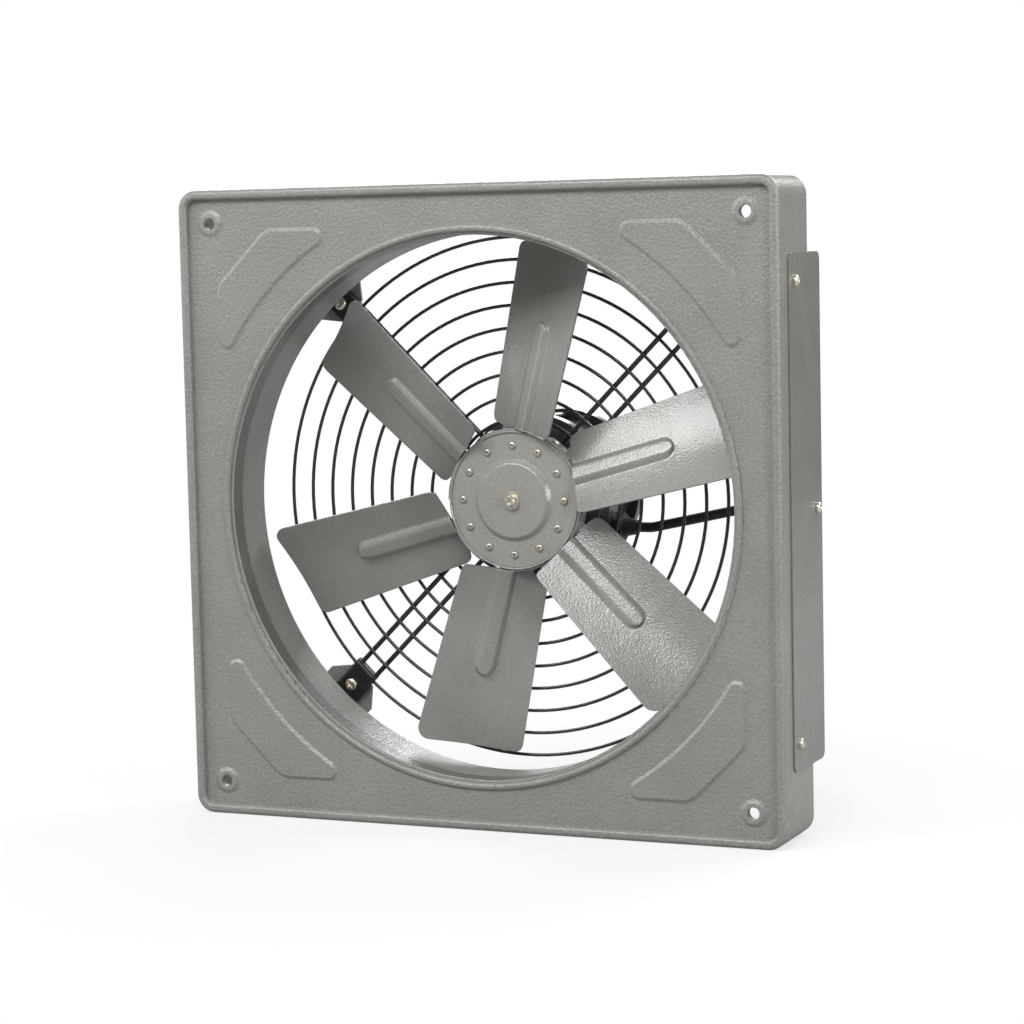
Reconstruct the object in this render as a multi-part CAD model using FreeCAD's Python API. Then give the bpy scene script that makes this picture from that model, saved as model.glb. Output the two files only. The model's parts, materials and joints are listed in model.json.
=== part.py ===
"""Industrial exhaust fan: a square pressed panel with a round orifice, a six-blade
impeller on a motor, and a wire guard that carries the motor behind the panel.

Millimetres. X is to the right, Y runs from the front face to the rear, Z is up. The origin is
on the fan axis, in the plane where the wall bolts seat on their bosses.
"""
import FreeCAD, Part
import math
import os

V = FreeCAD.Vector
AXIS = V(0, 1, 0)

# Orifice and throat, which the panel, the guard and the blades are sized from
THROAT_R = 198.0
LIP_WIDTH = 7.5
LIP_HEIGHT = 2.4
LIP_CREASE = 2.2
LIP_CREASE_DIP = 0.9
LIP_ROLL_R = 1.2
LIP_FLANGE_Y = 16.5
THROAT_REAR_Y = 53.5
SEAT_GAP = 0.1

# Front panel
PANEL_MARGIN = 37.0
PANEL_DEPTH = 64.0
PANEL_CORNER_R = 14.0
SHEET = 1.5
RIM_WIDTH = 7.0
RIM_HEIGHT = 5.0
RIM_EDGE_R = 3.3
RIM_INNER_EDGE_R = 2.6
BOLT_INSET = 25.0
BOLT_HOLE_D = 9.0
BOSS_D = 20.5
BOSS_TOP_D = 14.5
BOSS_HEIGHT = 1.6
BOSS_COLLAR = 6.0

# Corner reliefs pressed forward out of the panel
RELIEF_INSET = 29.0
RELIEF_CHAMFER = 42.0
RELIEF_GAP = 21.0
RELIEF_CORNER_R = 7.5
RELIEF_CHAMFER_R = 18.0
RELIEF_HEIGHT = 1.5
RELIEF_SLOPE = 2.5

# Side cover, its screws and the terminal box behind it
COVER_SHEET = 1.2
COVER_FRONT_Y = 15.0
COVER_REAR_Y = 85.0
COVER_TOP_INSET = 54.0
COVER_BOTTOM_INSET = 52.0
COVER_CORNER_R = 6.0
COVER_SCREW_Y = 27.0
COVER_SCREW_INSET = 19.5
COVER_MID_SCREW_Y = 73.0
SCREW_D = 4.0
SCREW_HEAD_D = 7.8
SCREW_HEAD_H = 3.6
SCREW_LENGTH = 10.0
BOX_CLEARANCE = 3.0
BOX_GAP = 2.0
BOX_HALF_HEIGHT = 60.0
BOX_LIP = 18.0
BLOCK_SIZE = (16.0, 14.0, 62.0)
GLAND_HEX = 20.0
GLAND_HEX_H = 6.0
GLAND_D = 15.0
GLAND_LENGTH = 16.0
GLAND_BORE_D = 8.0

# Impeller
HUB_R = 52.0
HUB_FRONT_Y = 72.5
HUB_DEPTH = 18.0
HUB_SHEET = 1.5
PLATE_RECESS = 1.5
PLATE_STEP_R = 31.0
PLATE_DISC_R = 27.5
PLATE_STEP_H = 3.0
PLATE_EDGE_R = 2.0
HUB_SCREW_COUNT = 12
HUB_SCREW_R = 41.0
HUB_SCREW_HEAD_D = 5.6
HUB_SCREW_HEAD_H = 1.8
HUB_BOSS_R = 13.0
HUB_BOLT_D = 6.0
HUB_BOLT_HEAD_D = 9.0
HUB_BOLT_HEAD_H = 5.0
HUB_WASHER_D = 13.0
HUB_WASHER_H = 1.2

# Blades
BLADE_COUNT = 6
BLADE_FIRST_DEG = 18.0
BLADE_TIP_GAP = 7.5
BLADE_SHEET = 1.5
BLADE_ROOT_Y = 73.3
BLADE_TIP_Y = 69.3
BLADE_ROOT_CHORD = 65.5
BLADE_TIP_CHORD = 82.0
BLADE_ROOT_PITCH_DEG = 27.7
BLADE_TIP_PITCH_DEG = 28.8
BLADE_ROOT_SHIFT = 4.0
BLADE_ROOT_BOW = 2.0
BLADE_TIP_BOW = 4.5
BLADE_FRONT_CORNER_R = 11.0
BLADE_REAR_CORNER_R = 6.0
BLADE_ROOT_CORNER_R = 6.0
RIB_WIDTH = 17.0
RIB_HEIGHT = 3.4
RIB_SLOPE = 2.8
RIB_SHARE = 0.6
TONGUE_WIDTH = 12.5
TONGUE_REACH = 9.0
FOOT_SHEET = 1.5
FOOT_SPAN_DEG = 42.0
FOOT_SHIFT_DEG = 20.0
FOOT_FRONT_Y = 74.5
FOOT_REAR_Y = 88.5
RIVET_D = 4.0
RIVET_HEAD_D = 7.0
RIVET_HEAD_H = 1.4
RIVET_SPREAD_DEG = 30.0

# Wire guard and the bars that carry the motor
RING_COUNT = 9
RING_INSET = 2.0
RING_INNER_R = 60.0
RING_WIRE_D = 2.6
GUARD_Y = 95.5
BAR_D = 3.8
BAR_SPACING = 15.5
BAR_INNER_R = 31.0
WELD_GAP = 0.1

# Guard brackets and saddle clamps, one on each diagonal
DIAGONAL_COUNT = 4
BRACKET_SHEET = 2.0
BRACKET_RISER_REACH = 28.0
BRACKET_FOOT_REACH = 11.0
BRACKET_WIDTH = 46.0
BRACKET_NOSE_WIDTH = 23.0
BRACKET_INNER_REACH = 4.0
BRACKET_NECK_REACH = 18.0
CLAMP_WIDTH = 21.0
CLAMP_HEIGHT = 7.0
CLAMP_REACH = 23.0
CLAMP_NOSE = 4.5
CLAMP_EDGE_R = 3.0
CLAMP_SCREW_REACH = 12.5
CLAMP_SCREW_D = 5.0
CLAMP_SCREW_HEAD_D = 9.5
CLAMP_SCREW_HEAD_H = 3.0

# Motor
FLANGE_R = 47.0
FLANGE_H = 3.0
MOTOR_R = 62.0
MOTOR_SHELL = 2.0
SHELL_INSET = 7.5
SHIELD_RIM = 12.0
SHIELD_RIM_DEPTH = 8.0
SHIELD_DEPTH = 18.0
SHELL_LENGTH = 52.0
SHIELD_WALL = 4.0
SHAFT_D = 15.0
SHAFT_NOSE_D = 12.0
SHAFT_RUNNING = 0.03
BEARING_D = 35.0
BEARING_WIDTH = 11.0
ROTOR_R = 30.0
AIR_GAP = 0.5
CORE_LENGTH = 34.0
WINDING_OVERHANG = 7.0
WINDING_BEVEL = 2.0
TOOTH_TIP = 4.0
CORE_YOKE = 8.0
MOTOR_BOLT_INSET = 4.5
MOTOR_BOLT_D = 4.0
MOTOR_BOLT_HEX = 7.0
MOTOR_BOLT_HEAD_H = 2.8
STRAP_R = 39.0
STRAP_LENGTH = 12.0
STRAP_WIDTH = 26.0
STRAP_SHEET = 2.0
STRAP_SCREW_D = 4.0
STRAP_SCREW_HEAD_D = 7.0
STRAP_SCREW_HEAD_H = 2.2
COOLING_RIBS = 16
COOLING_RIB_T = 2.4
COOLING_RIB_H = 4.0

# Lead from the motor to the terminal box
LEAD_D = 7.6
LEAD_MOTOR_Z = -24.5
LEAD_BOX_Z = 3.0
LEAD_MARGIN = 1.0
LEAD_BEND_R = 22.0
LEAD_STRAIGHT = 28.0
LEAD_BOX_INSET = 17.0
LEAD_PAD_H = 5.5

# Positions that follow from the sizes above
HALF = THROAT_R + PANEL_MARGIN
LIP_R = THROAT_R + LIP_WIDTH
BOLT_SPACING = 2 * (HALF - BOLT_INSET)
RELIEF_EDGE = HALF - RELIEF_INSET
RELIEF_ARC_R = LIP_R + RELIEF_GAP
COVER_TOP_Z = HALF - COVER_TOP_INSET
COVER_BOTTOM_Z = COVER_BOTTOM_INSET - HALF
BLADE_TIP_R = THROAT_R - BLADE_TIP_GAP
RIB_END_R = HUB_R + RIB_SHARE * (BLADE_TIP_R - HUB_R)
RING_OUTER_R = THROAT_R - RING_INSET
RING_PITCH = (RING_OUTER_R - RING_INNER_R) / (RING_COUNT - 1)
BRACKET_INNER_R = RING_OUTER_R + BRACKET_INNER_REACH
BRACKET_FOOT_R = RING_OUTER_R + BRACKET_FOOT_REACH
BRACKET_NECK_R = RING_OUTER_R + BRACKET_NECK_REACH
BRACKET_RISER_R = RING_OUTER_R + BRACKET_RISER_REACH
CLAMP_SCREW_R = RING_OUTER_R + CLAMP_SCREW_REACH
CLAMP_OUTER_R = RING_OUTER_R + CLAMP_REACH
SHELL_R = MOTOR_R - SHELL_INSET
SHIELD_RIM_R = MOTOR_R - SHIELD_RIM
MOTOR_BOLT_R = MOTOR_R - MOTOR_BOLT_INSET
FACE_Y = BOSS_HEIGHT
RIM_Y = FACE_Y - RIM_HEIGHT
REAR_Y = RIM_Y + PANEL_DEPTH
BACK_Y = FACE_Y + SHEET
HUB_REAR_Y = HUB_FRONT_Y + HUB_DEPTH
BLADE_ROOT_R = HUB_R + SEAT_GAP + FOOT_SHEET / 2
RING_R = RING_WIRE_D / 2
BAR_R = BAR_D / 2
BAR_Y = GUARD_Y + RING_R + WELD_GAP + BAR_R
FLANGE_Y = BAR_Y + BAR_R + WELD_GAP
SHIELD_Y = FLANGE_Y + FLANGE_H
SHELL_Y = SHIELD_Y + SHIELD_DEPTH
REAR_SHIELD_Y = SHELL_Y + SHELL_LENGTH
MOTOR_REAR_Y = REAR_SHIELD_Y + SHIELD_DEPTH
CORE_Y = SHELL_Y + (SHELL_LENGTH - CORE_LENGTH) / 2
BEARING_FRONT_Y = SHELL_Y - SHIELD_WALL / 2 - BEARING_WIDTH
BEARING_REAR_Y = REAR_SHIELD_Y + SHIELD_WALL / 2
PLATE_Y = HUB_FRONT_Y + PLATE_RECESS
DISC_Y = PLATE_Y - PLATE_STEP_H
BRACKET_Y = GUARD_Y + RING_R + WELD_GAP
BOX_FRONT_Y = REAR_Y + BOX_GAP
LEAD_Y = SHELL_Y + GLAND_HEX / 2 + LEAD_MARGIN
LEAD_BOX_X = HALF - LEAD_BOX_INSET
BOX_INNER_X = THROAT_R + BOX_CLEARANCE
COVER_MID_Z = (COVER_TOP_Z + COVER_BOTTOM_Z) / 2


def at(radius, degrees, y=0.0):
    """Point at a radius and an angle round the fan axis, counter-clockwise seen from the front."""
    turn = math.radians(degrees)
    return V(radius * math.cos(turn), y, radius * math.sin(turn))


def turned(shape, degrees):
    """Copy turned round the fan axis, counter-clockwise seen from the front."""
    copy = shape.copy()
    copy.rotate(V(0, 0, 0), AXIS, -degrees)
    return copy


def ring_pattern(shape, count, first_deg=0.0):
    """Copies spaced evenly round the fan axis."""
    return [turned(shape, first_deg + 360.0 * i / count) for i in range(count)]


def block(x0, x1, y0, y1, z0, z1):
    return Part.makeBox(x1 - x0, y1 - y0, z1 - z0, V(x0, y0, z0))


def rod(radius, start, end):
    return Part.makeCylinder(radius, start.distanceToPoint(end), start, end - start)


def disc(radius, y0, y1, bore=0.0):
    """Round plate on the fan axis."""
    plate = Part.makeCylinder(radius, y1 - y0, V(0, y0, 0), AXIS)
    if bore:
        plate = plate.cut(Part.makeCylinder(bore, y1 - y0, V(0, y0, 0), AXIS))
    return plate


def turned_profile(points):
    """Solid of revolution round the fan axis from (radius, y) corners."""
    corners = [V(r, y, 0) for r, y in points]
    face = Part.Face(Part.makePolygon(corners + corners[:1]))
    return face.revolve(V(0, 0, 0), AXIS, 360)


def rounded_square(half, radius, y):
    """Wire of a square with round corners, square to the fan axis."""
    straight = half - radius
    edges = []
    for i in range(4):
        a = math.radians(90 * i)
        side, along = V(math.cos(a), 0, math.sin(a)), V(-math.sin(a), 0, math.cos(a))
        end = side * half + along * straight
        edges.append(Part.LineSegment(side * half - along * straight, end).toShape())
        middle = (side + along) * (straight + radius * math.sqrt(0.5))
        edges.append(Part.Arc(end, middle, along * half + side * straight).toShape())
    wire = Part.Wire(edges)
    wire.translate(V(0, y, 0))
    return wire


def square_prism(half, radius, y0, y1):
    return Part.Face(rounded_square(half, radius, y0)).extrude(V(0, y1 - y0, 0))


def edges_at(shape, y):
    """Edges that lie in a plane square to the fan axis."""
    return [e for e in shape.Edges if all(abs(v.Y - y) < 1e-6 for v in e.Vertexes)
            and abs(e.CenterOfMass.y - y) < 1e-6]


def round_head(head_d, head_h):
    """Rivet or screw head with a bevelled top, seated on z = 0 and standing up along +Z."""
    radius, side = head_d / 2, head_h / 2
    base = Part.makeCylinder(radius, side)
    return base.fuse(Part.makeCone(radius, radius - side, head_h - side, V(0, 0, side)))


def fastener(place, outward, head, shank_d, shank_length):
    """Head on a round shank, seated at a place and standing outward."""
    shank = Part.makeCylinder(shank_d / 2, shank_length, V(0, 0, -shank_length))
    body = head.fuse(shank).removeSplitter()
    body.Placement = FreeCAD.Placement(place, FreeCAD.Rotation(V(0, 0, 1), outward))
    return body


def cover_screw_places():
    """Two screws in the skirt and one in the terminal box's lip: (y, z)."""
    return [(COVER_SCREW_Y, COVER_TOP_Z - COVER_SCREW_INSET),
            (COVER_MID_SCREW_Y, COVER_MID_Z),
            (COVER_SCREW_Y, COVER_BOTTOM_Z + COVER_SCREW_INSET)]


def relief_outline(y):
    """Pad in the upper right corner: two edges, a chamfer and an arc that follows the orifice."""
    reach = math.sqrt(RELIEF_ARC_R ** 2 - RELIEF_EDGE ** 2)
    cut = RELIEF_EDGE - RELIEF_CHAMFER
    low, high = V(RELIEF_EDGE, y, reach), V(reach, y, RELIEF_EDGE)
    edges = [Part.LineSegment(low, V(RELIEF_EDGE, y, cut)).toShape(),
             Part.LineSegment(V(RELIEF_EDGE, y, cut), V(cut, y, RELIEF_EDGE)).toShape(),
             Part.LineSegment(V(cut, y, RELIEF_EDGE), high).toShape(),
             Part.Arc(high, at(RELIEF_ARC_R, 45, y), low).toShape()]
    sharp = Part.Face(Part.Wire(edges)).extrude(V(0, 1, 0))
    corners = [e for e in sharp.Edges if abs(e.Vertexes[0].Y - e.Vertexes[-1].Y) > 0.5]
    tips = [e for e in corners if min(e.CenterOfMass.x, e.CenterOfMass.z) < (reach + cut) / 2]
    soft = sharp.makeFillet(RELIEF_CORNER_R, tips)
    middle = (RELIEF_EDGE + cut) / 2
    bends = [e for e in soft.Edges if abs(e.Vertexes[0].Y - e.Vertexes[-1].Y) > 0.5
             and abs(abs(e.CenterOfMass.x - middle) - RELIEF_CHAMFER / 2) < 1e-6
             and abs(abs(e.CenterOfMass.z - middle) - RELIEF_CHAMFER / 2) < 1e-6]
    soft = soft.makeFillet(RELIEF_CHAMFER_R, bends)
    return [f for f in soft.Faces if abs(f.CenterOfMass.y - y) < 1e-6][0].OuterWire


def relief_pad(offset):
    """Pressed pad with sloping sides; offset moves it back by one sheet for its hollow side."""
    base = relief_outline(FACE_Y)
    top = base.makeOffset2D(-RELIEF_SLOPE)
    top.translate(V(0, -RELIEF_HEIGHT, 0))
    pad = Part.makeLoft([base, top], True, True)
    pad.translate(V(0, offset, 0))
    return pad


def boss_pad(offset):
    """Raised ring round a wall-bolt hole."""
    seat = V(BOLT_SPACING / 2, FACE_Y + offset, BOLT_SPACING / 2)
    return Part.makeCone(BOSS_D / 2, BOSS_TOP_D / 2, BOSS_HEIGHT, seat, V(0, -1, 0))


def boss_collar():
    """Drawn collar that lengthens a wall-bolt hole behind its boss."""
    half = BOLT_SPACING / 2
    return rod(BOLT_HOLE_D / 2 + SHEET, V(half, SHEET / 2, half), V(half, BOSS_COLLAR, half))


def orifice_lip():
    """Shallow bead round the orifice, a crease, and a rolled edge that runs back into the throat ring."""
    crease_r, crease_y = THROAT_R + LIP_CREASE, FACE_Y + LIP_CREASE_DIP
    crest_r, crest_y = (crease_r + LIP_R) / 2, FACE_Y - LIP_HEIGHT
    roll_r, roll_y = THROAT_R + LIP_ROLL_R, crease_y + LIP_ROLL_R
    slant = LIP_ROLL_R * math.sqrt(0.5)
    back_r = THROAT_R + SHEET
    face, crease = V(LIP_R, FACE_Y, 0), V(crease_r, crease_y, 0)
    roll_in, roll_out = V(roll_r, crease_y, 0), V(THROAT_R, roll_y, 0)
    end, end_back = V(THROAT_R, LIP_FLANGE_Y, 0), V(back_r, LIP_FLANGE_Y, 0)
    corner_back, crease_back = V(back_r, crease_y + SHEET, 0), V(crease_r, crease_y + SHEET, 0)
    face_back = V(LIP_R, BACK_Y, 0)
    edges = [Part.Arc(face, V(crest_r, crest_y, 0), crease).toShape(),
             Part.LineSegment(crease, roll_in).toShape(),
             Part.Arc(roll_in, V(roll_r - slant, roll_y - slant, 0), roll_out).toShape(),
             Part.LineSegment(roll_out, end).toShape(),
             Part.LineSegment(end, end_back).toShape(),
             Part.LineSegment(end_back, corner_back).toShape(),
             Part.LineSegment(corner_back, crease_back).toShape(),
             Part.Arc(crease_back, V(crest_r, crest_y + SHEET, 0), face_back).toShape(),
             Part.LineSegment(face_back, face).toShape()]
    return Part.Face(Part.Wire(edges)).revolve(V(0, 0, 0), AXIS, 360)


def frame_panel():
    outer = square_prism(HALF, PANEL_CORNER_R, RIM_Y, REAR_Y)
    outer = outer.makeFillet(RIM_EDGE_R, edges_at(outer, RIM_Y))
    recess_half, recess_r = HALF - RIM_WIDTH, PANEL_CORNER_R - RIM_WIDTH
    shell = outer.cut(square_prism(recess_half, recess_r, RIM_Y, FACE_Y))
    mid_rim = HALF - RIM_WIDTH / 2
    crest_edges = [e for e in edges_at(shell, RIM_Y)
                   if max(abs(e.CenterOfMass.x), abs(e.CenterOfMass.z)) < mid_rim]
    shell = shell.makeFillet(RIM_INNER_EDGE_R, crest_edges)
    inside_half, inside_r = HALF - SHEET, PANEL_CORNER_R - SHEET
    shell = shell.cut(square_prism(inside_half, inside_r, BACK_Y, REAR_Y))
    channel_y = RIM_Y + SHEET
    channel = square_prism(inside_half, inside_r, channel_y, BACK_Y)
    channel = channel.makeFillet(RIM_EDGE_R - SHEET, edges_at(channel, channel_y))
    shell = shell.cut(channel.cut(square_prism(recess_half + SHEET, recess_r + SHEET, channel_y, BACK_Y)))
    pads = ring_pattern(relief_pad(0), DIAGONAL_COUNT) + ring_pattern(boss_pad(0), DIAGONAL_COUNT)
    hollows = (ring_pattern(relief_pad(SHEET), DIAGONAL_COUNT)
               + ring_pattern(boss_pad(SHEET), DIAGONAL_COUNT))
    shell = shell.multiFuse(pads).cut(Part.makeCompound(hollows))
    shell = shell.multiFuse(ring_pattern(boss_collar(), DIAGONAL_COUNT))
    half = BOLT_SPACING / 2
    hole = rod(BOLT_HOLE_D / 2, V(half, RIM_Y, half), V(half, BOSS_COLLAR, half))
    orifice = disc(LIP_R, RIM_Y, BACK_Y)
    screw_holes = [rod(SCREW_D / 2, V(HALF - 2 * SHEET, y, z), V(HALF, y, z))
                   for y, z in cover_screw_places() if y < REAR_Y]
    shell = shell.cut(Part.makeCompound(ring_pattern(hole, DIAGONAL_COUNT) + [orifice] + screw_holes))
    return shell.fuse(orifice_lip()).removeSplitter()


def throat_ring():
    inner = THROAT_R + SHEET + SEAT_GAP
    front_y = BACK_Y + SHEET
    return turned_profile([(inner, front_y), (inner + SHEET, front_y),
                           (inner + SHEET, THROAT_REAR_Y), (inner, THROAT_REAR_Y)])


def side_cover():
    plate = block(HALF, HALF + COVER_SHEET, COVER_FRONT_Y, COVER_REAR_Y, COVER_BOTTOM_Z, COVER_TOP_Z)
    corners = [e for e in plate.Edges if abs(e.Vertexes[0].X - e.Vertexes[-1].X) > COVER_SHEET / 2]
    plate = plate.makeFillet(COVER_CORNER_R, corners)
    holes = [rod(SCREW_D / 2, V(HALF, y, z), V(HALF + COVER_SHEET, y, z)) for y, z in cover_screw_places()]
    return plate.cut(Part.makeCompound(holes))


def cover_screws():
    head = round_head(SCREW_HEAD_D, SCREW_HEAD_H)
    return [fastener(V(HALF + COVER_SHEET, y, z), V(1, 0, 0), head, SCREW_D, SCREW_LENGTH)
            for y, z in cover_screw_places()]


def terminal_box():
    """Sheet-metal tray that opens towards the side cover, with a lip for the cover's middle screw."""
    low, high = COVER_MID_Z - BOX_HALF_HEIGHT, COVER_MID_Z + BOX_HALF_HEIGHT
    tray = block(BOX_INNER_X, HALF, BOX_FRONT_Y, COVER_REAR_Y, low, high)
    tray = tray.cut(block(BOX_INNER_X + COVER_SHEET, HALF, BOX_FRONT_Y + COVER_SHEET,
                          COVER_REAR_Y - COVER_SHEET, low + COVER_SHEET, high - COVER_SHEET))
    lip = block(HALF - COVER_SHEET, HALF, COVER_REAR_Y - BOX_LIP, COVER_REAR_Y,
                COVER_MID_Z - BOX_LIP, COVER_MID_Z + BOX_LIP)
    tray = tray.fuse(lip)
    screw_hole = rod(SCREW_D / 2, V(HALF - BOX_LIP, COVER_MID_SCREW_Y, COVER_MID_Z),
                     V(HALF, COVER_MID_SCREW_Y, COVER_MID_Z))
    inlet_hole = rod(GLAND_D / 2, supply_place(), supply_place() + V(0, 0, COVER_SHEET))
    lead_hole = rod(GLAND_D / 2, lead_box_place(), lead_box_place() - V(0, COVER_SHEET, 0))
    return tray.cut(Part.makeCompound([screw_hole, inlet_hole, lead_hole])).removeSplitter()


def supply_place():
    """Middle of the supply gland's seat, in the lower wall of the terminal box."""
    return V(LEAD_BOX_X, (BOX_FRONT_Y + COVER_REAR_Y) / 2, COVER_MID_Z - BOX_HALF_HEIGHT)


def lead_box_place():
    """Middle of the lead gland's seat, in the rear wall of the terminal box."""
    return V(LEAD_BOX_X, COVER_REAR_Y, LEAD_BOX_Z)


def lead_motor_place():
    """Middle of the lead gland's seat, on the flat pad of the motor shell."""
    return V(SHELL_R + LEAD_PAD_H, LEAD_Y, LEAD_MOTOR_Z)


def terminal_block():
    """Row of terminals on the inner wall of the terminal box."""
    width, depth, length = BLOCK_SIZE
    x0 = BOX_INNER_X + COVER_SHEET
    y0 = (BOX_FRONT_Y + COVER_REAR_Y) / 2 - depth / 2
    z0 = COVER_MID_Z + BOX_HALF_HEIGHT - COVER_SHEET - length
    base = block(x0, x0 + width, y0, y0 + depth, z0, z0 + length)
    ways = 6
    pitch = length / ways
    slots = []
    for i in range(1, ways):
        middle = z0 + i * pitch
        slots.append(block(x0 + width / 2, x0 + width, y0, y0 + depth,
                           middle - pitch / 8, middle + pitch / 8))
    return base.cut(Part.makeCompound(slots))


def hexagon(across_flats, height):
    """Six-sided prism on z = 0."""
    corner = across_flats / math.sqrt(3)
    points = [V(corner * math.cos(math.radians(60 * i)), corner * math.sin(math.radians(60 * i)), 0)
              for i in range(7)]
    return Part.Face(Part.makePolygon(points)).extrude(V(0, 0, height))


def gland(place, outward):
    """Cable gland with a hexagon, a round neck and a bore, seated at a place."""
    neck = Part.makeCone(GLAND_D / 2, GLAND_D / 2 - 2, GLAND_LENGTH - GLAND_HEX_H, V(0, 0, GLAND_HEX_H))
    thread = Part.makeCylinder(GLAND_D / 2, GLAND_HEX_H, V(0, 0, -COVER_SHEET * 2))
    bore = Part.makeCylinder(GLAND_BORE_D / 2, 3 * GLAND_LENGTH, V(0, 0, -GLAND_LENGTH))
    body = hexagon(GLAND_HEX, GLAND_HEX_H).fuse(neck).fuse(thread).cut(bore).removeSplitter()
    body.Placement = FreeCAD.Placement(place, FreeCAD.Rotation(V(0, 0, 1), outward))
    return body


def motor_lead():
    """Lead from the motor gland to the terminal box: straight runs joined by bends."""
    start, end = lead_motor_place(), lead_box_place()
    corners = [start + V(LEAD_STRAIGHT, 0, 0), V(LEAD_BOX_X, LEAD_Y, LEAD_BOX_Z)]
    edges = []
    here = start
    for corner, following in zip(corners, corners[1:] + [end]):
        run, away = (corner - here).normalize(), (following - corner).normalize()
        half_turn = math.acos(run.dot(away)) / 2
        arc_in = corner - run * (LEAD_BEND_R * math.tan(half_turn))
        arc_out = corner + away * (LEAD_BEND_R * math.tan(half_turn))
        arc_mid = corner + (away - run).normalize() * (LEAD_BEND_R / math.cos(half_turn) - LEAD_BEND_R)
        edges += [Part.LineSegment(here, arc_in).toShape(), Part.Arc(arc_in, arc_mid, arc_out).toShape()]
        here = arc_out
    edges.append(Part.LineSegment(here, end).toShape())
    section = Part.Wire(Part.makeCircle(LEAD_D / 2, start, V(1, 0, 0)))
    return Part.Wire(edges).makePipeShell([section], True, False)


def guard_rings():
    rings = []
    for i in range(RING_COUNT):
        radius = RING_OUTER_R - i * RING_PITCH
        rings.append(Part.makeTorus(radius, RING_R, V(0, GUARD_Y, 0), AXIS))
    return rings


def support_bars():
    bars = []
    for side in (-1, 1):
        offset = side * BAR_SPACING / 2
        outer = math.sqrt(RING_OUTER_R ** 2 - offset ** 2)
        bar = rod(BAR_R, V(BAR_INNER_R, BAR_Y, offset), V(outer, BAR_Y, offset))
        bars += ring_pattern(bar, DIAGONAL_COUNT, 45)
    return bars


def guard_bracket():
    """Channel bracket on the X axis: foot on the panel's back, riser past the throat, clamp plate."""
    half, nose = BRACKET_WIDTH / 2, BRACKET_NOSE_WIDTH / 2
    outer_r = BRACKET_RISER_R + BRACKET_SHEET
    foot = block(BRACKET_FOOT_R, outer_r, BACK_Y, BACK_Y + BRACKET_SHEET, -half, half)
    riser = block(BRACKET_RISER_R, outer_r, BACK_Y, BRACKET_Y + BRACKET_SHEET, -half, half)
    outline = [V(BRACKET_RISER_R, BRACKET_Y, -half), V(BRACKET_NECK_R, BRACKET_Y, -half),
               V(BRACKET_INNER_R, BRACKET_Y, -nose), V(BRACKET_INNER_R, BRACKET_Y, nose),
               V(BRACKET_NECK_R, BRACKET_Y, half), V(BRACKET_RISER_R, BRACKET_Y, half)]
    plate = Part.Face(Part.makePolygon(outline + outline[:1])).extrude(V(0, BRACKET_SHEET, 0))
    body = foot.fuse(riser).fuse(plate).removeSplitter()
    bends = [e for e in body.Edges if abs(e.Length - BRACKET_WIDTH) < 1e-6
             and abs(e.CenterOfMass.x - outer_r) < 1e-6]
    body = body.makeFillet(BRACKET_SHEET, bends)
    hole = rod(CLAMP_SCREW_D / 2, V(CLAMP_SCREW_R, BRACKET_Y, 0),
               V(CLAMP_SCREW_R, BRACKET_Y + BRACKET_SHEET, 0))
    return body.cut(hole)


def bar_clamp():
    """Saddle clamp on the X axis: a block on the bracket with a nose hooked over the outer ring."""
    half = CLAMP_WIDTH / 2
    nose_r = RING_OUTER_R - RING_R - CLAMP_NOSE
    front_y = BRACKET_Y - CLAMP_HEIGHT
    body = block(nose_r, CLAMP_OUTER_R, front_y, BRACKET_Y, -half, half)
    front_edges = edges_at(body, front_y)
    body = body.makeFillet(CLAMP_EDGE_R, front_edges)
    groove = Part.makeTorus(RING_OUTER_R, RING_R + WELD_GAP, V(0, GUARD_Y, 0), AXIS)
    mouth = disc(RING_OUTER_R + RING_R + WELD_GAP, GUARD_Y, BRACKET_Y, RING_OUTER_R - RING_R - WELD_GAP)
    hole = rod(CLAMP_SCREW_D / 2, V(CLAMP_SCREW_R, front_y, 0), V(CLAMP_SCREW_R, BRACKET_Y, 0))
    return body.cut(Part.makeCompound([groove, mouth, hole]))


def clamp_screws():
    front_y = BRACKET_Y - CLAMP_HEIGHT
    head = round_head(CLAMP_SCREW_HEAD_D, CLAMP_SCREW_HEAD_H)
    one = fastener(V(CLAMP_SCREW_R, front_y, 0), V(0, -1, 0), head, CLAMP_SCREW_D,
                   CLAMP_HEIGHT + 2 * BRACKET_SHEET)
    return ring_pattern(one, DIAGONAL_COUNT, 45)


def motor_flange():
    flange = disc(FLANGE_R, FLANGE_Y, SHIELD_Y, HUB_BOSS_R)
    hole = rod(STRAP_SCREW_D / 2, V(STRAP_R, FLANGE_Y, 0), V(STRAP_R, SHIELD_Y, 0))
    return flange.cut(Part.makeCompound(ring_pattern(hole, DIAGONAL_COUNT, 45)))


def bar_strap():
    """Strap on the X axis that holds one pair of bars against the motor flange."""
    front_y = BAR_Y - BAR_R - WELD_GAP - STRAP_SHEET
    half_length, half_width = STRAP_LENGTH / 2, STRAP_WIDTH / 2
    strap = block(STRAP_R - half_length, STRAP_R + half_length, front_y, front_y + STRAP_SHEET,
                  -half_width, half_width)
    return strap.cut(rod(STRAP_SCREW_D / 2, V(STRAP_R, front_y, 0), V(STRAP_R, front_y + STRAP_SHEET, 0)))


def strap_screws():
    front_y = BAR_Y - BAR_R - WELD_GAP - STRAP_SHEET
    reach = SHIELD_Y + SHIELD_WALL - front_y
    one = fastener(V(STRAP_R, front_y, 0), V(0, -1, 0), round_head(STRAP_SCREW_HEAD_D, STRAP_SCREW_HEAD_H),
                   STRAP_SCREW_D, reach)
    return ring_pattern(one, DIAGONAL_COUNT, 45)


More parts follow.
